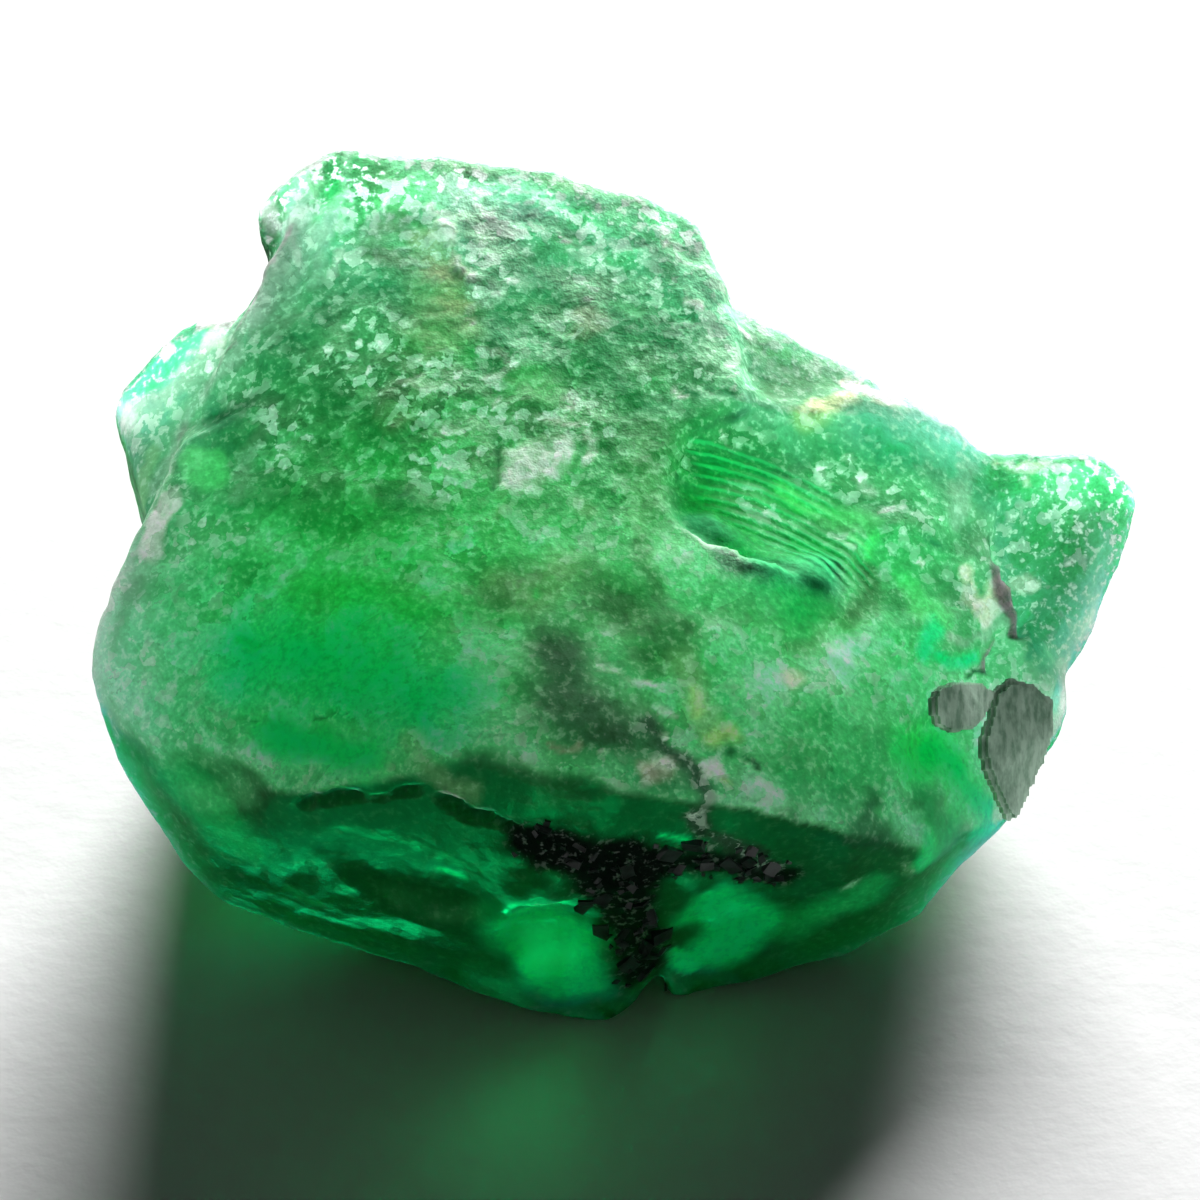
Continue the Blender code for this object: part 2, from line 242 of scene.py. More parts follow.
    "bowl point": ("lime", 0.9, 0.10, 0.7, (852, 540), (868, 555), (878, 540)),
    "bowl right": ("pale leaf", 0.5, 0.15, 0.8, (905, 522), (935, 524)),
    "bowl edge": ("haze", 0.7, 0.14, 0.8, (640, 540), (655, 590), (690, 625)),
    "bowl ledge": ("haze", 0.85, 0.18, 0.7, (868, 572), (868, 600), (845, 632), (800, 650)),
    "right window": ("lime", 0.85, 0.20, 0.6, (912, 592), (920, 610), (940, 616)),
    "right window low": ("smooth", 0.8, 0.16, 0.7, (935, 630), (930, 650)),
    "right window shade": ("bottle", 0.7, 0.07, 0.8, (926, 545), (940, 545)),

    # side crystal
    "side crystal": ("leaf", 0.6, 0.45, 0.7, (1050, 510), (1060, 560), (1055, 600)),
    "side crystal head": ("fern", 0.5, 0.20, 0.8, (1088, 468), (1115, 488), (1128, 505)),
    "side crystal brow": ("bottle", 0.45, 0.07, 0.8, (1040, 476), (1062, 470)),
    "side crystal light": ("pale leaf", 0.6, 0.20, 0.8, (1050, 495), (1075, 525)),
    "side crystal edge": ("lime", 0.75, 0.18, 0.7, (1100, 550), (1095, 590), (1085, 625)),
    "side crystal rim": ("mint", 0.7, 0.04, 0.8, (1120, 548), (1106, 590), (1090, 635)),
    "side crystal crust": ("cream", 0.9, 0.08, 0.6, (996, 466), (1012, 470), (1046, 463)),
    "side crystal crust low": ("cream", 0.8, 0.06, 0.6, (1020, 476), (1022, 484)),
    # Painted shade in the crease.
    "side crystal crease shade": ("bottle", 0.6, 0.04, 0.8, (1012, 500), (1006, 522), (998, 548)),
    "side crystal dots": ("frost", 0.9, 0.03, 0.5, (1062, 568), (1063, 569)),
    "side cream": (
        "cream", 0.95, 0.13, 0.4, (966, 572), (968, 598), (982, 616), (1000, 592), (1024, 588),
    ),
    "side cream sparks": ("frost", 0.9, 0.05, 0.5, (964, 570), (978, 620), (1010, 608)),
    "side grey": ("pewter", 0.8, 0.10, 0.5, (950, 636), (972, 634), (1000, 622)),
    # Painted shade in the cleft.
    "side cleft shade": ("ink", 0.75, 0.035, 0.6, (1034, 608), (1018, 630), (1000, 650), (990, 672)),
    "side lump": ("leaf", 0.85, 0.34, 0.6, (1020, 655), (1052, 655), (1058, 680)),
    "side lump streak": ("bottle", 0.7, 0.07, 0.7, (1034, 640), (1026, 662)),
    "side lump green": ("emerald", 0.7, 0.14, 0.7, (1058, 690), (1052, 712)),
    "side knob": ("fern", 0.6, 0.24, 0.5, (1030, 645), (1042, 676)),
    "side emerald": ("smooth", 0.9, 0.11, 0.6, (944, 662), (975, 656)),
    # Painted shade in the pocket.
    "side pocket shade": ("ink", 0.9, 0.055, 0.6, (966, 674), (988, 676)),

    # smooth left flank
    "left tip": ("fern", 0.9, 0.22, 0.8, (90, 660), (98, 690)),
    "left flank shade": ("smoke", 0.6, 0.13, 0.8, (135, 585), (122, 625), (115, 645)),
    "left flank rim": ("pewter", 0.7, 0.06, 0.6, (138, 540), (120, 580), (104, 615), (92, 645)),
    "left flank light": ("pale leaf", 0.5, 0.14, 0.8, (150, 655), (150, 690), (140, 715)),
    "left flank line": ("mint", 0.6, 0.03, 0.6, (168, 642), (164, 655)),
    "left flank nick": ("mint", 0.6, 0.03, 0.6, (152, 722), (146, 736)),
    "left flank": ("leaf", 0.4, 0.35, 0.9, (180, 600), (190, 650), (190, 700)),
    "smooth flank": ("smooth", 0.9, 0.62, 1.0, (262, 655), (330, 655), (400, 680), (430, 700)),
    "smooth flank high": ("emerald", 0.7, 0.30, 0.9, (300, 590), (370, 590), (430, 610)),
    "smooth flank low": ("vivid", 0.9, 0.26, 0.8, (270, 738), (320, 748), (370, 762)),
    "smooth flank spark": ("vivid", 0.9, 0.09, 0.8, (240, 636), (256, 646)),
    "smooth flank crack": (
        "ink", 0.65, 0.028, 0.7, (222, 716), (262, 720), (300, 714), (342, 712), (358, 716),
    ),
    "left foot": ("emerald", 0.6, 0.40, 0.8, (180, 780), (215, 815), (245, 845)),
    "left foot shade": ("deep", 0.7, 0.16, 0.8, (165, 822), (190, 855)),
    # Painted shadow: the ink lines under the edge of the step.
    "step": ("ink", 0.85, 0.05, 0.6, (300, 804), (350, 797), (400, 789), (420, 790)),
    "step right": ("ink", 0.8, 0.065, 0.6, (432, 800), (462, 808), (490, 816), (512, 828)),
    "step crust": ("sage", 0.6, 0.17, 0.8, (412, 742), (430, 768), (450, 790), (470, 792)),
    "inner line": ("ink", 0.45, 0.035, 0.8, (452, 746), (480, 737), (530, 733)),

    # hazy middle
    "haze high": ("haze", 0.8, 0.45, 0.8, (500, 590), (560, 575), (620, 600)),
    "haze light": ("sage", 0.5, 0.25, 0.9, (500, 585), (530, 600), (560, 565)),
    "haze": ("smoke", 0.85, 0.50, 0.8, (560, 650), (560, 700), (620, 720)),
    "haze right": ("haze", 0.8, 0.30, 0.8, (640, 620), (680, 640), (650, 660)),
    "haze pocket": ("emerald", 0.6, 0.07, 0.8, (532, 588), (536, 590)),
    "middle pale": ("sage", 0.9, 0.24, 0.7, (686, 665), (692, 700), (710, 730)),
    "middle pale heart": ("straw", 0.6, 0.10, 0.8, (690, 690), (694, 708)),
    "middle pale right": ("pale leaf", 0.85, 0.38, 0.8, (770, 690), (800, 690), (840, 660)),
    "middle cream": ("cream", 0.75, 0.11, 0.8, (788, 684), (796, 680)),
    "middle cream low": ("straw", 0.75, 0.13, 0.8, (716, 736), (730, 732)),
    "middle streak": ("frost", 0.65, 0.05, 0.7, (600, 668), (618, 672), (640, 684), (654, 690)),
    "middle streak low": ("frost", 0.55, 0.05, 0.7, (650, 698), (658, 715), (672, 714)),
    "middle right": ("fern", 0.6, 0.45, 0.9, (790, 730), (840, 720), (870, 760)),
    "middle right low": ("fern", 0.7, 0.30, 0.9, (800, 780), (850, 790)),
    "middle band": ("smoke", 0.6, 0.30, 0.8, (575, 735), (630, 745), (690, 778)),
    "middle char": ("char", 0.85, 0.16, 0.7, (645, 728), (660, 750), (690, 770), (706, 800)),
    "middle char left": ("smoke", 0.7, 0.14, 0.8, (600, 735), (630, 740)),
    # Painted shade in the pocket.
    "middle pocket shade": ("ink", 0.9, 0.09, 0.6, (732, 752), (746, 756), (752, 764)),
    "middle green": ("deep", 0.8, 0.20, 0.8, (480, 770), (540, 785), (600, 795), (650, 812)),
    "middle buff": ("buff", 0.8, 0.05, 0.6, (549, 747), (566, 753), (584, 748)),
    "middle dashes": ("frost", 0.75, 0.03, 0.6, (604, 756), (620, 761), (635, 762)),
    "middle crust": ("buff", 0.85, 0.13, 0.7, (645, 772), (662, 770)),
    "middle crust light": ("frost", 1.0, 0.085, 0.5, (656, 766), (664, 769)),
    "middle crust dots": ("frost", 0.95, 0.035, 0.5, (646, 755), (664, 738)),
    "middle white": ("frost", 0.85, 0.09, 0.7, (706, 768), (716, 764), (720, 774)),
    "middle white tail": ("straw", 0.6, 0.04, 0.6, (722, 780), (735, 788)),

    # front, under the overhang
    "front left": ("deep", 0.5, 0.60, 0.9, (300, 850), (380, 880), (450, 860)),
    # Painted light along the front left rim.
    "front left rim light": ("emerald", 0.45, 0.10, 0.8, (290, 892), (340, 912), (380, 930)),
    "front left pit": ("ink", 0.85, 0.06, 0.7, (324, 843), (328, 844)),
    "front left shade": ("ink", 0.75, 0.11, 0.8, (238, 880), (264, 892)),
    "front speckle": ("smooth", 0.5, 0.10, 0.9, (440, 868), (462, 878)),
    "front glow ring": ("vivid", 0.85, 0.46, 1.0, (525, 925), (560, 950), (570, 975)),
    "front glow": ("glow", 1.0, 0.36, 0.8, (538, 935), (550, 952)),
    "front glow right": ("vivid", 0.95, 0.34, 0.95, (708, 908), (745, 925), (720, 950)),
    "front glow corner": ("vivid", 0.9, 0.14, 0.6, (668, 955), (690, 965)),
    "front right": ("emerald", 0.7, 0.28, 0.8, (790, 925), (830, 905), (870, 890)),
    # Painted highlight: thin light lines along the front right edge.
    "front right highlight": ("mint", 0.45, 0.045, 0.8, (818, 897), (838, 892), (856, 884)),
    "front right edge": ("deep", 0.6, 0.20, 0.8, (780, 965), (850, 945), (900, 905)),
    "soot": ("soot", 1.0, 0.46, 0.35, (535, 845), (575, 856), (618, 858), (640, 872)),
    "soot arm": ("soot", 0.97, 0.27, 0.5, (640, 868), (690, 862), (735, 862), (780, 878)),
    "soot branch": ("char", 0.95, 0.13, 0.6, (695, 815), (715, 835), (740, 850), (770, 868)),
    "soot column": ("soot", 0.97, 0.46, 0.45, (600, 885), (622, 905), (634, 935), (640, 968)),
    "soot speck": ("char", 0.8, 0.05, 0.7, (702, 836), (712, 850), (700, 862)),
    "front notch": ("soot", 0.7, 0.07, 0.7, (648, 975), (655, 985)),
    "front gap": ("smooth", 0.6, 0.08, 0.7, (668, 835), (690, 838)),
    "front stripe": ("ink", 0.75, 0.10, 0.8, (820, 835), (860, 845), (905, 850)),
    "front stripe high": ("ink", 0.6, 0.05, 0.8, (745, 800), (790, 815), (835, 832)),
    "front shade": ("ink", 0.7, 0.16, 0.8, (875, 805), (855, 828), (890, 838)),
    "front pale spot": ("haze", 0.7, 0.08, 0.7, (906, 858), (912, 874)),
    "front window": ("spring", 0.95, 0.34, 0.8, (905, 752), (940, 758), (965, 785), (985, 812)),
    "front window bright": ("spring", 0.8, 0.14, 0.8, (905, 745), (938, 752), (962, 775)),
    "front window low": ("spring", 0.7, 0.24, 0.7, (950, 825), (930, 850)),
    "front window edge": ("pale leaf", 0.6, 0.035, 0.6, (924, 688), (916, 705), (905, 730)),
    "front window spot": ("sage", 0.8, 0.045, 0.6, (945, 815), (946, 818)),

    # last glazes, over all of these
    "lower green": ("bottle", 0.85, 0.36, 0.6, (925, 800), (950, 835), (985, 850), (1000, 872)),
    "left flake": ("frost", 0.7, 0.2, 0.35, (168, 500), (158, 520), (148, 545)),
    "crystal shade": ("fern", 0.5, 0.9, 0.6, (1060, 500), (1090, 560), (1060, 620)),
    "block shade": ("bottle", 0.65, 0.45, 0.6, (880, 430), (940, 450), (985, 480)),
    "left prism light": ("ice", 0.35, 0.35, 0.6, (300, 230), (285, 270), (262, 310)),
    "top middle light": ("sugar", 0.6, 0.5, 0.6, (340, 350), (385, 372), (430, 380)),
}

# Strokes that carry fine curved ribs: half width, softness and places.
RIBBED = {
    "bowl": (0.40, 0.6, (715, 480), (760, 510), (810, 550), (850, 560)),
    "bowl rim": (0.25, 0.7, (700, 450), (760, 470), (820, 500)),
}
# Grooves along the cracks and steps: depth (a ridge's is negative), half width, softness and places.
GROOVES = {
    "flank crack": (0.06, 0.05, 0.7, (222, 716), (262, 720), (300, 714), (342, 712), (358, 716)),
    "step": (0.16, 0.08, 0.6, (300, 804), (350, 797), (400, 789), (420, 790)),
    "step right": (0.16, 0.09, 0.6, (432, 800), (462, 808), (490, 816), (512, 828)),
    "prism line": (0.08, 0.06, 0.6, (318, 185), (312, 225), (303, 262), (294, 296)),
    "prism band": (-0.06, 0.08, 0.6, (334, 198), (329, 232), (321, 262), (311, 288)),
    "crystal cleft": (0.18, 0.09, 0.6, (1034, 608), (1018, 630), (1000, 650), (990, 672)),
    "crystal crease": (0.10, 0.09, 0.7, (1012, 500), (1006, 522), (998, 548)),
    "round plate": (-0.05, 0.34, 0.15, (400, 400), (404, 412)),
    "plate edge": (0.07, 0.06, 0.6, (492, 440), (494, 470), (486, 500)),
    "side knob": (-0.12, 0.28, 0.5, (1030, 645), (1040, 675)),
    "bowl floor": (-0.15, 0.26, 0.9, (715, 534), (740, 551), (770, 562), (805, 568)),
    "streak": (-0.06, 0.07, 0.6, (426, 206), (441, 230), (455, 252), (466, 271)),
}
# Strokes where the stone is plain and matt, in the same form as the ribbed ones.
MATT = {
    "bowl lip": (0.32, 0.6, (700, 530), (730, 552), (765, 566), (800, 575), (830, 575)),
}

# The ribs: what they turn round, the gap between them, how they waver, their light and their height.
RIB_CENTRE = (1.4, -3.4, 4.6)
RIB_GAP = 0.17
RIB_WAVER = 2.0
RIB_LIGHT = (0.06, 0.8, 0.34)
RIB_SHARE = 0.4
RIB_HEIGHT = 0.6

# How the edges of the strokes and the sugary skin wander: layers of a pitch, a reach and a seed.
EDGE_WANDER = ((0.7, 0.16, 1), (0.22, 0.07, 2))
SUGAR = ((0.45, 0.05, 5), (0.18, 0.035, 6))
SUGAR_BARE = 0.25

# The ground under the strokes. Its patches have a coat, a pitch, a seed, an axis, an edge and a spread.
# Each pair after them is the range, of a normal or of the place along Y, where a share turns from 0 to 1.
PATCHES = (("pale leaf", 0.9, 3, 0, 1.6, 0.2), ("fern", 0.7, 4, 1, 1.8, -0.1))
PATCH_SHARE = 0.6
SLOPING = (0, 0.5)
TURNED_AWAY = (0, 0.3)
AT_BACK = (1, 2)
BED_FROM = (-3.5, -2.5)

# Patterns in the stone and its painted glints, in repeats a millimetre, how far their borders wander and
# what they add to its colour. An edge is the pair of values between which a pattern turns from 0 to 1.
GRAIN_PITCH = 8.0
FLAKE_PITCH = 2.4
FLAKE_BORDER = 0.25
FLECK_PITCH = 6.5
FLECK_BORDER = 0.15
FLECK_EDGE = (0.72, 0.8)
FLECK_FROST = (0.3, 0.7)
FLECK_SHARE = 0.45
# SPARKLE is the colour of the pale flecks and of the painted glints, the sparkle on frosted stone.
SPARKLE = (0.85, 0.95, 0.85)
SPARKLE_EDGE = (0.54, 0.68)
SPARKLE_SHARE = 0.5
SOFT_MOTTLE = ((0.3, (0.62, 0.68, 0.62)), (0.7, (1.3, 1.25, 1.3)))
FLAKED_MOTTLE = ((0.0, (0.5, 0.55, 0.5)), (1.0, (1.7, 1.5, 1.6)))
FLAKED_BARE = 0.15
FLAKED_FROST = 0.8
MOTTLE_SHARE = 0.8
RELIEF_BARE = 0.25
RELIEF_STRENGTH = 0.7
RELIEF = 0.05 * MM

# The clouded stone: how far light spreads in it, in all and for each colour, and the painted light and
# shade
# in its tint: lighter towards the front, where less light reaches it, and darker at thin edges and where
# it faces the key light, where more light passes or falls. A pair is a range again.
CLOUD_REACH = 14 * MM
CLOUD_SPREAD = (0.8, 1.35, 1.0)
LIFT_MIDDLE = -0.15
LIFT_SLOPE = 0.42
LIFT_MOST = 2.1
THICK = 6.0
THIN_FROM = (-2, 0)
THIN_DIM = 1.8
PROBE_DEPTH = 0.2
KEY_FACING = (0.5, 0.9)
KEY_DIM = 0.35
KEY_LIT = (-0.1, 0.2)
CLOUDED_FROM = (1.5, 2.5)
TINT_MOST = 0.99

# The crust: its share, which grows towards the back, with frost and towards the key light, and how much
# lighter it is than the stone under it.
CRUST_MIDDLE = 0.5
CRUST_SLOPE = 0.13
CRUST_MOST = 0.9
CRUST_BARE = 0.25
CRUST_FROST = (0, 0.25)
CRUST_UNLIT = 0.3
CRUST_FACING = (0.6, 0.9)
CRUST_LIFT = (3.3, 2.1, 2.7)

# Flakes of grey mica on the stone, as outlines, and their layers: how wide and how high each one lies.
FLAKES = {
    "small_mica": (
        (926, 700), (934, 688), (952, 682), (976, 684), (990, 694), (984, 712), (970, 728), (948, 734),
        (930, 724),
    ),
    "large_mica": (
        (990, 694), (1006, 682), (1030, 690), (1046, 704), (1048, 730), (1036, 764), (1020, 798),
        (1008, 826), (994, 800), (980, 768), (976, 742), (986, 716),
    ),
}
FLAKE_LAYERS = 2
FLAKE_CELL = 3.0
FLAKE_GROWN = 1.1
FLAKE_RISE = 0.06
FLAKE_WANDER = 0.006
LAYER_SHRINK = 0.12
LAYER_RISE = 0.05
LAYER_THICKNESS = 0.07
CHIP_PITCH = 0.12
CHIP_SEED = 8
STREAK_PULL = (6.0, 1.5, 1.5)
STREAK_PITCH = 1.6
STREAK_SHARE = 0.7
SPOT_PITCH = 7.0
SPOT_SHARE = 0.3
GREY_MICA = ((0.4, (0.28, 0.56, 0.36)), (0.58, (0.66, 0.98, 0.74)))
MICA_RELIEF = 0.03 * MM

# Grains of black mica: their number, sizes, breadth, flatness and tilt, and how they cluster.
GRAINS = 110
GRAIN_SMALLEST = 0.08
GRAIN_LARGEST = 0.34
GRAIN_SKEW = 3
GRAIN_BREADTH = (0.45, 0.9)
GRAIN_FLATNESS = 0.3
GRAIN_TILT = 0.4
GRAIN_WANDER = 0.035
CLUSTER_PITCH = 1.7
CLUSTER_EDGE = -0.12
BLACK_MICA = ((0.35, (0.004, 0.008, 0.005)), (0.65, (0.03, 0.05, 0.04)))


# ---------------------------------------------------------------- shader maths


class Value:
    """One output of a node. Sums, differences and products of values add their own Math nodes."""

    def __init__(self, finish, socket):
        self.finish = finish
        self.socket = socket

    def output(self, name):
        """Another output of the same node."""
        return Value(self.finish, self.socket.node.outputs[name])

    def math(self, operation, *others):
        return self.finish.node("ShaderNodeMath", {"operation": operation}, self, *others)

    def __add__(self, other):
        return self.math("ADD", other)

    def __sub__(self, other):
        return self.math("SUBTRACT", other)

    def __rsub__(self, other):
        return self.finish.node("ShaderNodeMath", {"operation": "SUBTRACT"}, other, self)

    def __mul__(self, other):
        return self.math("MULTIPLY", other)

    __radd__ = __add__
    __rmul__ = __mul__

    def step(self, low, high):
        """0 below low and 1 above high, turning smoothly in between."""
        return self.finish.node(
            "ShaderNodeMapRange", {"interpolation_type": "SMOOTHSTEP"}, self, low, high, 0.0, 1.0
        )


class Finish:
    """A material under construction. Its patterns are in millimetres of the piece's own place."""

    def __init__(self, name):
        self.material = bpy.data.materials.new(name)
        self.material.use_nodes = True
        self.tree = self.material.node_tree
        self.tree.nodes.clear()
        coordinates = self.node("ShaderNodeTexCoord", out="Object")
        self.place = self.node("ShaderNodeMapping", {}, coordinates, Scale=(1 / MM, 1 / MM, 1 / MM))

    def node(self, kind, settings=None, *values, out=0, **named):
        """Adds a node, sets its settings first and then its sockets, and returns one of its outputs."""
        made = self.tree.nodes.new(kind)
        for name, setting in (settings or {}).items():
            if name == "stops":
                self.stops(made.color_ramp, setting)
            else:
                setattr(made, name, setting)
        for number, value in enumerate(values):
            self.connect(value, made.inputs[number])
        for name, value in named.items():
            self.connect(value, made.inputs[name.replace("_", " ")])
        return Value(self, made.outputs[out])

    def connect(self, value, socket):
        if isinstance(value, Value):
            self.tree.links.new(value.socket, socket)
        elif hasattr(socket.default_value, "__len__") and len(socket.default_value) == 4:
            socket.default_value = (*value[:3], 1.0)
        else:
            socket.default_value = value

    def stops(self, ramp, setting):
        for number, (place, colour) in enumerate(setting):
            stop = ramp.elements[number] if number < 2 else ramp.elements.new(place)
            stop.position = place
            stop.color = (*colour, 1.0)

    def noise(self, scale, detail=2.0, rough=0.55, place=None):
        place = place or self.place
        return self.node("ShaderNodeTexNoise", {}, place, Scale=scale, Detail=detail, Roughness=rough)

    def shifted(self, amount, reach):
        """The place moved by a varying amount, so that borders wander."""
        way = (1.0, 1.0, -1.0)
        moved = self.node("ShaderNodeVectorMath", {"operation": "SCALE"}, way, Scale=amount * reach)
        return self.node("ShaderNodeVectorMath", {"operation": "ADD"}, self.place, moved)

    def attribute(self, name, out=0):
        return self.node("ShaderNodeAttribute", {"attribute_name": name}, out=out)

    def colours(self, value, *stops):
        return self.node("ShaderNodeValToRGB", {"stops": stops}, value)

    def blend(self, share, low, high, how="MIX"):
        made = self.node("ShaderNodeMix", {"data_type": "RGBA", "blend_type": how}, out=2)
        mix = made.socket.node
        self.connect(share, mix.inputs[0])
        self.connect(low, mix.inputs[6])
        self.connect(high, mix.inputs[7])
        return made

    def bump(self, height, strength, depth):
        return self.node("ShaderNodeBump", {}, Strength=strength, Distance=depth, Height=height)

    def principled(self, **sockets):
        return self.node("ShaderNodeBsdfPrincipled", {}, **sockets)

    def mixed(self, share, low, high):
        return self.node("ShaderNodeMixShader", {}, share, low, high)

    def done(self, surface, volume=None):
        output = self.tree.nodes.new("ShaderNodeOutputMaterial")
        self.tree.links.new(surface.socket, output.inputs["Surface"])
        if volume:
            self.tree.links.new(volume.socket, output.inputs["Volume"])
        return self.material


def cell(f, grain, shift, pitch):
    """A random shade for each small cell of the stone, with borders that wander with the grain."""
    cells = f.node("ShaderNodeTexVoronoi", {}, f.shifted(grain, shift), Scale=pitch, out="Color")
    return f.node("ShaderNodeSeparateXYZ", {}, cells, out="X")


def marked(f, colour, mottle, ribs, specks):
    """The colour mottled, with its ribs lit and its specks pale: pale flecks and painted glints."""
    toned = f.blend(MOTTLE_SHARE, colour, mottle, "MULTIPLY")
    toned = f.blend(ribs, toned, RIB_LIGHT)
    return f.blend(specks, toned, SPARKLE)


def mottling(f, grain, frost):
    """A light and dark pattern: soft in plain stone, in small flakes where it is frosted."""
    soft = f.colours(grain, *SOFT_MOTTLE)
    flaked = f.colours(cell(f, grain, FLAKE_BORDER, FLAKE_PITCH), *FLAKED_MOTTLE)
    return f.blend(frost * FLAKED_FROST + FLAKED_BARE, soft, flaked, "MULTIPLY")


def beryl():
    """Green beryl: clear, clouded or crusted as the brushed coats say, and sugary with frost."""
    f = Finish("beryl")
    # The tint and the crust's colour hold painted light and shade; the tint's alpha is the share of
    # crust.
    tint = f.attribute("tint")
    crust_and_painted_shade = f.attribute("crust_and_painted_shade", out="Vector")
    nature = f.node("ShaderNodeSeparateXYZ", {}, f.attribute("nature", out="Vector"), out="X")
    clearness, frost, ribbing = nature, nature.output("Y"), nature.output("Z")
    grain = f.noise(GRAIN_PITCH, 2.0, 0.65)
    reach = f.node("ShaderNodeVectorMath", {"operation": "DISTANCE"}, f.place, RIB_CENTRE, out="Value")
    ribs = (reach * (math.tau / RIB_GAP) + grain * RIB_WAVER).math("SINE")
    lit_ribs = ribbing * ribs.step(0.0, 1.0) * RIB_SHARE
    # Painted glints: pale specks where the grain is high on frosted stone.
    sparkle = grain.step(*SPARKLE_EDGE) * frost
    fleck = cell(f, grain, FLECK_BORDER, FLECK_PITCH).step(*FLECK_EDGE) * frost.step(*FLECK_FROST)
    specks = sparkle * SPARKLE_SHARE + fleck * FLECK_SHARE
    mottle = mottling(f, grain, frost)
    height = grain * (RELIEF_BARE + frost) + ribs * ribbing * RIB_HEIGHT
    relief = f.bump(height, RELIEF_STRENGTH, RELIEF)
    clear = f.principled(
        Base_Color=(0.9, 0.98, 0.94),
        Roughness=0.28 + frost * 0.2,
        IOR=1.58,
        Specular_IOR_Level=0.25,
        Transmission_Weight=1.0,
        Normal=relief,
    )
    cloudy = f.principled(
        Base_Color=marked(f, tint, mottle, lit_ribs, specks),
        Roughness=0.75,
        Specular_IOR_Level=0.05,
        Subsurface_Weight=1.0,
        Subsurface_Radius=CLOUD_SPREAD,
        Subsurface_Scale=CLOUD_REACH,
        Normal=relief,
    )
    crusted = f.principled(
        Base_Color=marked(f, crust_and_painted_shade, mottle, lit_ribs, specks),
        Roughness=0.75,
        Specular_IOR_Level=0.1,
        Normal=relief,
    )
    clouded = f.mixed(tint.output("Alpha"), cloudy, crusted)
    surface = f.mixed(clearness * (1 - sparkle), clouded, clear)
    body = f.node("ShaderNodeVolumeAbsorption", {}, Color=(0.0, 1.0, 0.8), Density=700.0)
    return f.done(surface, body)


def pale_floor():
    f = Finish("pale_floor")
    relief = f.bump(f.noise(1.2, 4.0, 0.6), 0.15, 0.1 * MM)
    return f.done(f.principled(Base_Color=(0.86, 0.86, 0.86), Roughness=0.8, Normal=relief))


# ---------------------------------------------------------------- modelling helpers


def deselect():
    bpy.ops.object.select_all(action="DESELECT")


def only(piece):
    deselect()
    piece.select_set(True)
    bpy.context.view_layer.objects.active = piece


def apply(piece, kind, **settings):
    """Adds a modifier with these settings and applies it."""
    only(piece)
    modifier = piece.modifiers.new(kind.title(), kind)
    for name, setting in settings.items():
        setattr(modifier, name, setting)
    bpy.ops.object.modifier_apply(modifier=modifier.name)


# ---------------------------------------------------------------- the stone's skin


def points_of(piece):
    """The piece's points, in millimetres, and their normals, as two arrays."""
    mesh = piece.data
    places = np.empty(len(mesh.vertices) * 3)
    mesh.vertices.foreach_get("co", places)
    normals = np.array([tuple(way.vector) for way in mesh.vertex_normals])
    return places.reshape(-1, 3) / MM, normals


def put_points(piece, places):
    piece.data.vertices.foreach_set("co", (places * MM).ravel())
    piece.data.update()


def between(values, low, high):
    """0 where the values are below low and 1 where they are above high, turning smoothly in between."""
    share = np.clip((values - low) / (high - low), 0, 1)
    return share * share * (3 - 2 * share)


def wander(places, pitch, seed):
    """A smooth random shift for each place, at most about one unit long, turning over this pitch."""
    start = Vector((seed * 17.3, seed * 5.1, seed * 9.7))
    return np.array([noise.noise_vector(Vector(place) / pitch + start) for place in places])


def drift(places, layers):
    """Random shifts of several sizes, added up. Each layer has a pitch, a reach and a seed."""
    return sum(reach * wander(places, pitch, seed) for pitch, reach, seed in layers)


class Brush:
    """Lays strokes on the skin. A place across and down is the point that the camera sees there."""

    def __init__(self, skin):
        self.places, self.normals = points_of(skin)
        corners = [vertex.co for vertex in skin.data.vertices]
        self.tree = BVHTree.FromPolygons(corners, [tuple(face.vertices) for face in skin.data.polygons])
        self.uneven = self.places + drift(self.places, EDGE_WANDER)
        away = between(self.normals @ -np.array(TO_EYE), *TURNED_AWAY)
        self.behind = (away * between(self.places[:, 1], *AT_BACK))[:, None]

    def hit(self, across, down):
        """The point of the skin seen there and its normal, in metres."""
        side = Vector(((across / PICTURE - 0.5) * PICTURE_WIDTH, 0, 0))
        rise = PICTURE_UP * (0.5 - down / PICTURE) * PICTURE_WIDTH
        return self.tree.ray_cast(EYE, (TARGET + side + rise - EYE).normalized())[:2]

    def thickness(self):
        """How deep the stone is under each point, in millimetres."""
        depths = []
        for place, normal in zip(self.places, self.normals):
            way = -Vector(normal)
            found = self.tree.ray_cast((Vector(place) + way * PROBE_DEPTH) * MM, way)[3]
            depths.append((found or 0) / MM)
        return np.array(depths)

    def mask(self, half_width, softness, places):
        """1 along the stroke, falling to 0 over its soft edge."""
        seen = [self.hit(*place)[0] for place in places]
        path = [np.array(point) / MM for point in seen if point]
        nearest = np.full(len(self.uneven), np.inf)
        for start, end in zip(path, path[1:] or path):
            way = end - start
            length = way @ way
            along = np.clip((self.uneven - start) @ way / max(length, TINY), 0, 1)
            gap = np.linalg.norm(self.uneven - start - np.outer(along, way), axis=1)
            nearest = np.minimum(nearest, gap)
        edge = half_width * softness
        return 1 - between(nearest, half_width - edge, half_width + edge)


def linear(colour):
    """A display colour out of 255 as light."""
    share = np.array(colour) / 255
    return np.where(share <= 0.04045, share / 12.92, ((share + 0.055) / 1.055) ** 2.4)


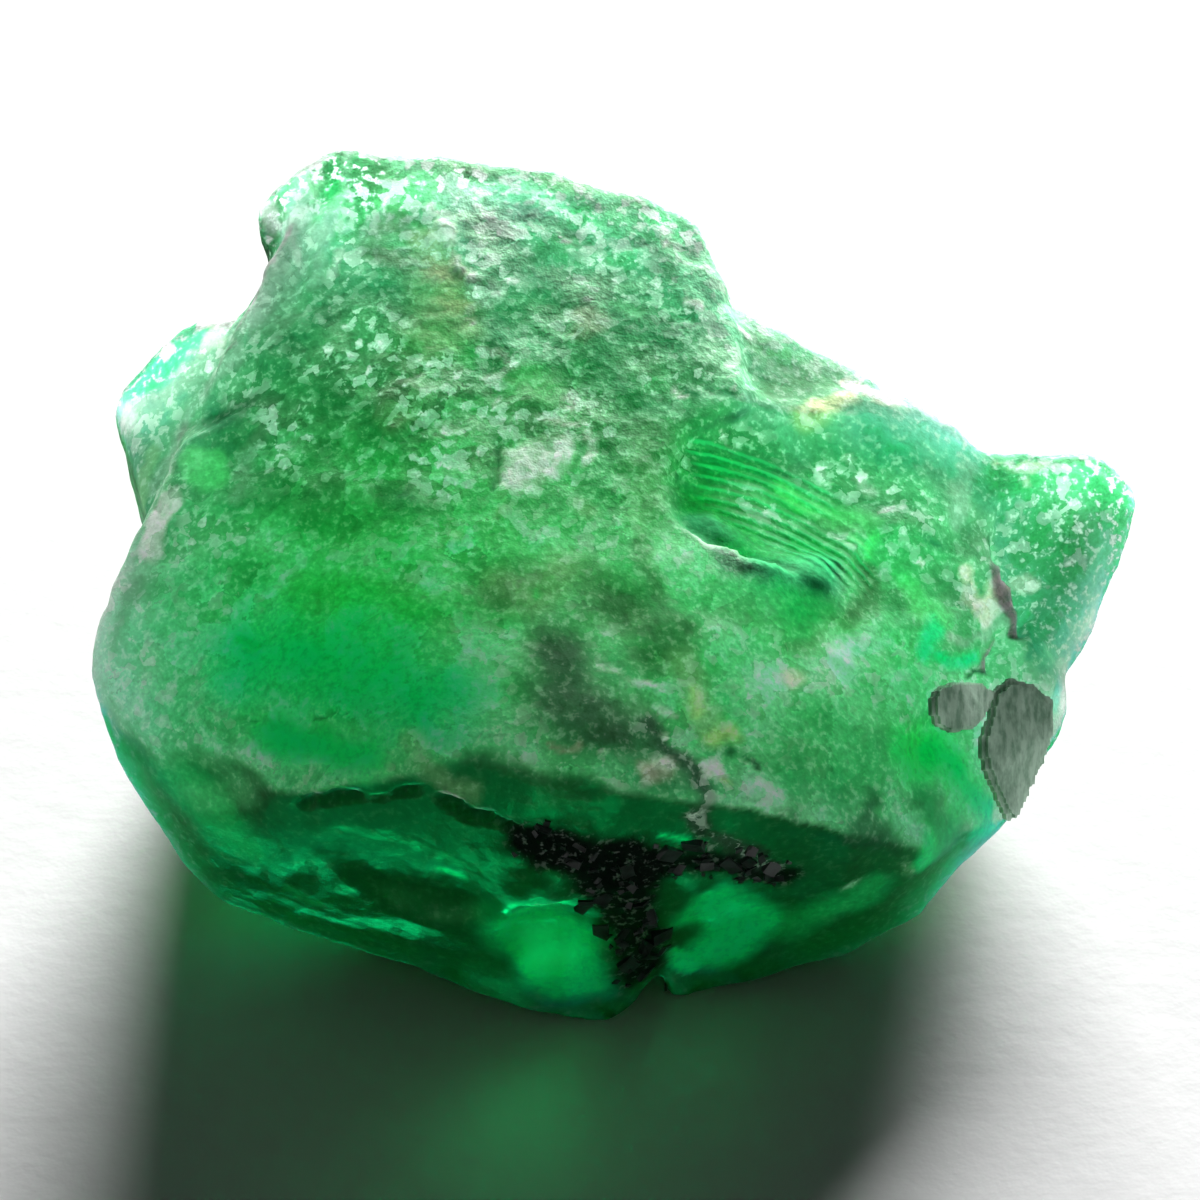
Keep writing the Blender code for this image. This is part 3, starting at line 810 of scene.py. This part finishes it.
def ground(brush, coats):
    """The coats under the strokes: patchy leaf green above, deep in front, clear behind and below."""
    up = between(brush.normals[:, 2], *SLOPING)[:, None]
    laid = coats["deep"] * (1 - up) + coats["leaf"] * up
    laid += (coats["back"] - laid) * brush.behind
    under = between(-brush.normals[:, 2], *SLOPING) * between(brush.places[:, 1], *BED_FROM)
    laid += (coats["bed"] - laid) * under[:, None]
    for coat, pitch, seed, axis, edge, spread in PATCHES:
        patch = between(wander(brush.places, pitch, seed)[:, axis] * edge + spread, 0, 1)
        laid += (coats[coat] - laid) * patch[:, None] * up * PATCH_SHARE
    return laid


def brushed(brush):
    """Each point's colour and nature (clearness, frost and ribbing), from the ground and the strokes."""
    coats = {name: np.array([*linear(coat[0]), *coat[1:], 0]) for name, coat in COATS.items()}
    laid = ground(brush, coats)
    for coat, share, half_width, softness, *places in STROKES.values():
        cover = share * brush.mask(half_width, softness, places)[:, None]
        laid += (coats[coat] - laid) * cover
    for half_width, softness, *places in RIBBED.values():
        laid[:, 5] = np.maximum(laid[:, 5], brush.mask(half_width, softness, places))
    return laid


def colour_stone(skin, brush, laid):
    """Stores each point's tint, with painted light and shade in it, its share of crust, the crust's
    colour, with painted shade where it faces the key light, and the point's nature.
    """
    colour, frost = laid[:, :3], laid[:, 4:5]
    back = brush.places[:, 1:2]
    to_key = (brush.normals @ np.array(TO_KEY))[:, None]
    # Painted shade: the tint and the crust's colour are darker where the point faces the key light.
    painted_key_shade = 1 - KEY_DIM * between(to_key, *KEY_FACING)
    lit = between(to_key, *KEY_LIT)
    thin = np.clip(1 - brush.thickness()[:, None] / THICK, 0, 1) * between(back, *THIN_FROM)
    # Painted light and shade: the tint is lighter towards the front, where less light reaches it, and darker at     thin edges towards the back, where light passes straight through.
    painted_light_and_shade = np.minimum(np.exp(LIFT_MIDDLE - LIFT_SLOPE * back - THIN_DIM * thin), LIFT_MOST)
    tint = colour * np.minimum(painted_light_and_shade * painted_key_shade, TINT_MOST / colour.max(axis=1, keepdims=True))
    crust_and_painted_shade = np.clip(colour * np.array(CRUST_LIFT) * painted_key_shade, 0, TINT_MOST)
    crust = np.clip(CRUST_MIDDLE + CRUST_SLOPE * back, 0, CRUST_MOST)
    crust *= CRUST_BARE + (1 - CRUST_BARE) * between(frost, *CRUST_FROST)
    crust *= CRUST_UNLIT + (1 - CRUST_UNLIT) * lit
    crust = np.maximum(crust, CRUST_MOST * between(to_key, *CRUST_FACING))
    for half_width, softness, *places in MATT.values():
        crust = np.maximum(crust, brush.mask(half_width, softness, places)[:, None])
    laid[:, 3:4] *= 1 - np.maximum(lit, between(back, *CLOUDED_FROM)) * (1 - brush.behind)
    store(skin, "tint", "FLOAT_COLOR", "color", np.hstack([tint, crust]))
    store(skin, "crust_and_painted_shade", "FLOAT_VECTOR", "vector", crust_and_painted_shade)
    store(skin, "nature", "FLOAT_VECTOR", "vector", laid[:, 3:6])


def store(piece, name, kind, field, values):
    made = piece.data.attributes.new(name, kind, "POINT")
    made.data.foreach_set(field, np.ascontiguousarray(values, dtype=np.float32).ravel())


def wear(skin, brush, laid):
    """Moves the skin in and out: sugary where it is frosted, with grooves along the cracks and steps."""
    frost = laid[:, 4]
    out = drift(brush.places, SUGAR)[:, 0] * (SUGAR_BARE + frost)
    for depth, half_width, softness, *places in GROOVES.values():
        out -= depth * brush.mask(half_width, softness, places)
    put_points(skin, brush.places + brush.normals * out[:, None])


def stone_skin():
    """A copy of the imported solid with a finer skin."""
    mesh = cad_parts["emerald"].data.copy()
    skin = bpy.data.objects.new("stone", mesh)
    bpy.context.scene.collection.objects.link(skin)
    only(skin)
    bpy.ops.object.mode_set(mode="EDIT")
    bpy.ops.mesh.select_all(action="SELECT")
    bpy.ops.mesh.remove_doubles(threshold=WELD)
    bpy.ops.object.mode_set(mode="OBJECT")
    apply(skin, "REMESH", mode="VOXEL", voxel_size=SKIN_VOXEL)
    apply(skin, "SMOOTH", factor=0.5, iterations=3)
    bpy.ops.object.shade_smooth()
    skin.data.materials.clear()
    skin.data.materials.append(beryl())
    return skin


# ---------------------------------------------------------------- flakes and grains on the stone


def grey_mica():
    """Cleaved mica, streaked along its layers."""
    f = Finish("grey mica")
    pulled = f.node("ShaderNodeVectorMath", {"operation": "MULTIPLY"}, f.place, STREAK_PULL)
    streaks = f.noise(STREAK_PITCH, 3.0, 0.6, pulled)
    spots = f.noise(SPOT_PITCH, 2.0)
    shade = f.colours(streaks * STREAK_SHARE + spots * SPOT_SHARE, *GREY_MICA)
    relief = f.bump(streaks + spots * SPOT_SHARE, 0.25, MICA_RELIEF)
    return f.done(f.principled(Base_Color=shade, Roughness=0.45, Specular_IOR_Level=0.4, Normal=relief))


def black_mica():
    f = Finish("black mica")
    shade = f.colours(f.noise(4.0, 2.0), *BLACK_MICA)
    return f.done(f.principled(Base_Color=shade, Roughness=0.3, Specular_IOR_Level=0.4))


def inside(place, outline):
    """True where the place is within the outline."""
    across, down = place
    crossed = False
    for (x0, y0), (x1, y1) in zip(outline, outline[1:] + outline[:1]):
        if (y0 > down) != (y1 > down) and across < x0 + (x1 - x0) * (down - y0) / (y1 - y0):
            crossed = not crossed
    return crossed


def trim(sheet, kept):
    """Deletes the corners of the sheet that aren't kept."""
    only(sheet)
    bpy.ops.object.mode_set(mode="EDIT")
    bpy.ops.mesh.select_all(action="DESELECT")
    bpy.ops.object.mode_set(mode="OBJECT")
    for corner, keep in zip(sheet.data.vertices, kept):
        corner.select = not keep
    bpy.ops.object.mode_set(mode="EDIT")
    bpy.ops.mesh.delete(type="VERT")
    bpy.ops.mesh.select_all(action="SELECT")
    bpy.ops.mesh.normals_make_consistent(inside=False)
    bpy.ops.object.mode_set(mode="OBJECT")


def drape(brush, outline, rise):
    """A sheet with this outline, laid on the skin: a grid draped over it and trimmed to the outline.

    The grid is made from -1 to 1 mm and then stretched over the reach of the outline.
    """
    low, high = np.min(outline, axis=0), np.max(outline, axis=0)
    columns, rows = (round(reach / FLAKE_CELL) for reach in high - low)
    bpy.ops.mesh.primitive_grid_add(x_subdivisions=columns, y_subdivisions=rows, size=2 * MM)
    sheet = bpy.context.object
    seen = [tuple(low + (place[:2] + 1) / 2 * (high - low)) for place in points_of(sheet)[0]]
    hits = [brush.hit(*place) for place in seen]
    laid = [point + normal * rise * MM if point else Vector() for point, normal in hits]
    put_points(sheet, np.array([tuple(point) for point in laid]) / MM)
    trim(sheet, [bool(point) and inside(place, outline) for place, (point, _) in zip(seen, hits)])
    apply(sheet, "SMOOTH", factor=0.5, iterations=4)
    return sheet


def flake(name, brush, outline, finish):
    """A flake of stacked layers, each smaller than the one below it."""
    middle = np.mean(outline, axis=0)
    outward = brush.hit(*middle)[1]
    layers = []
    for number in range(FLAKE_LAYERS):
        grown = FLAKE_GROWN - number * LAYER_SHRINK
        edge = [tuple(middle + (np.array(place) - middle) * grown) for place in outline]
        sheet = drape(brush, edge, LAYER_RISE * number + FLAKE_RISE)
        if sum((face.normal for face in sheet.data.polygons), Vector()).dot(outward) < 0:
            sheet.data.flip_normals()
        apply(sheet, "SOLIDIFY", thickness=LAYER_THICKNESS * MM, offset=0.0)
        layers.append(sheet)
    only(layers[0])
    for sheet in layers[1:]:
        sheet.select_set(True)
    bpy.ops.object.join()
    dress(layers[0], name, finish, FLAKE_WANDER)


def dress(piece, name, finish, shift):
    """Roughens the piece, names it, gives it its material and lets it move with the stone."""
    places = points_of(piece)[0]
    put_points(piece, places + shift * wander(places, CHIP_PITCH, CHIP_SEED))
    only(piece)
    bpy.ops.object.shade_flat()
    piece.name = name
    piece.data.materials.append(finish)
    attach(piece, "root")


def scattered(brush, coat, count, chance):
    """Points of the skin and their normals, spread in clusters over the strokes of this coat."""
    strokes = [stroke for stroke in STROKES.values() if stroke[0] == coat]
    areas = [half_width * share for _, share, half_width, *_ in strokes]
    found = []
    while len(found) < count:
        _, _, half_width, _, *places = chance.choices(strokes, areas)[0]
        start = chance.randrange(len(places) - 1)
        first, last = places[start:start + 2]
        share = chance.random()
        reach = half_width * PICTURE / PICTURE_WIDTH * MM
        seen = [
            one * (1 - share) + other * share + chance.uniform(-reach, reach)
            for one, other in zip(first, last)
        ]
        point, normal = brush.hit(*seen)
        if point and noise.noise(point / MM * CLUSTER_PITCH) > CLUSTER_EDGE:
            found.append((point, normal))
    return found


def lay_grains(brush):
    """Many small angular grains of black mica, where the stone is sooty."""
    chance = random.Random("black_grains")
    for number, (point, normal) in enumerate(scattered(brush, "soot", GRAINS, chance)):
        long = GRAIN_SMALLEST + (GRAIN_LARGEST - GRAIN_SMALLEST) * chance.random() ** GRAIN_SKEW
        tilt = Vector([chance.uniform(-GRAIN_TILT, GRAIN_TILT) for _ in range(3)])
        turn = Matrix.Rotation(chance.uniform(0, math.tau), 4, "Z")
        way = ((normal + tilt).to_track_quat("Z", "Y").to_matrix().to_4x4() @ turn).to_euler()
        scale = (long * MM, long * chance.uniform(*GRAIN_BREADTH) * MM, long * GRAIN_FLATNESS * MM)
        bpy.ops.mesh.primitive_cube_add(size=1, location=point, rotation=way, scale=scale)
        if number == 0:
            bpy.ops.object.transform_apply(location=True, rotation=True, scale=True)
            grains = bpy.context.object
            bpy.ops.object.mode_set(mode="EDIT")
    bpy.ops.object.mode_set(mode="OBJECT")
    dress(grains, "black_grains", black_mica(), GRAIN_WANDER)


def lay_flakes(brush):
    finish = grey_mica()
    for name, outline in FLAKES.items():
        flake(name, brush, outline, finish)


# ---------------------------------------------------------------- camera, light and floor


def place_camera():
    bpy.ops.object.camera_add()
    camera = bpy.context.object
    camera.data.sensor_width = SENSOR
    camera.data.lens = SENSOR * CAMERA_DISTANCE / PICTURE_WIDTH
    camera.data.clip_start = NEAREST
    camera.data.clip_end = FARTHEST
    camera.location = EYE
    camera.rotation_euler = TO_EYE.to_track_quat("Z", "Y").to_euler()
    bpy.context.scene.camera = camera


def light_the_scene():
    world = bpy.data.worlds.new("studio")
    bpy.context.scene.world = world
    world.use_nodes = True
    shade = world.node_tree.nodes["Background"]
    shade.inputs["Color"].default_value = FILL_COLOUR
    shade.inputs["Strength"].default_value = FILL
    bpy.ops.object.light_add(type="AREA", location=TO_KEY * KEY_DISTANCE)
    key = bpy.context.object
    key.rotation_euler = TO_KEY.to_track_quat("Z", "Y").to_euler()
    key.data.shape = "DISK"
    key.data.size = KEY_SIZE
    key.data.energy = KEY_POWER


def lay_floor():
    bpy.ops.mesh.primitive_plane_add(size=FLOOR_SIZE)
    floor = bpy.context.object
    floor.name = "floor"
    floor.data.materials.append(pale_floor())


bpy.context.scene.view_settings.view_transform = "Standard"
place_camera()
light_the_scene()
lay_floor()

# Without a seed, the noise vectors would differ from run to run.
noise.seed_set(NOISE_SEED)
skin = stone_skin()
brush = Brush(skin)
laid = brushed(brush)
colour_stone(skin, brush, laid)
wear(skin, brush, laid)
lay_flakes(brush)
lay_grains(brush)
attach(skin, "root")
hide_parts("emerald")
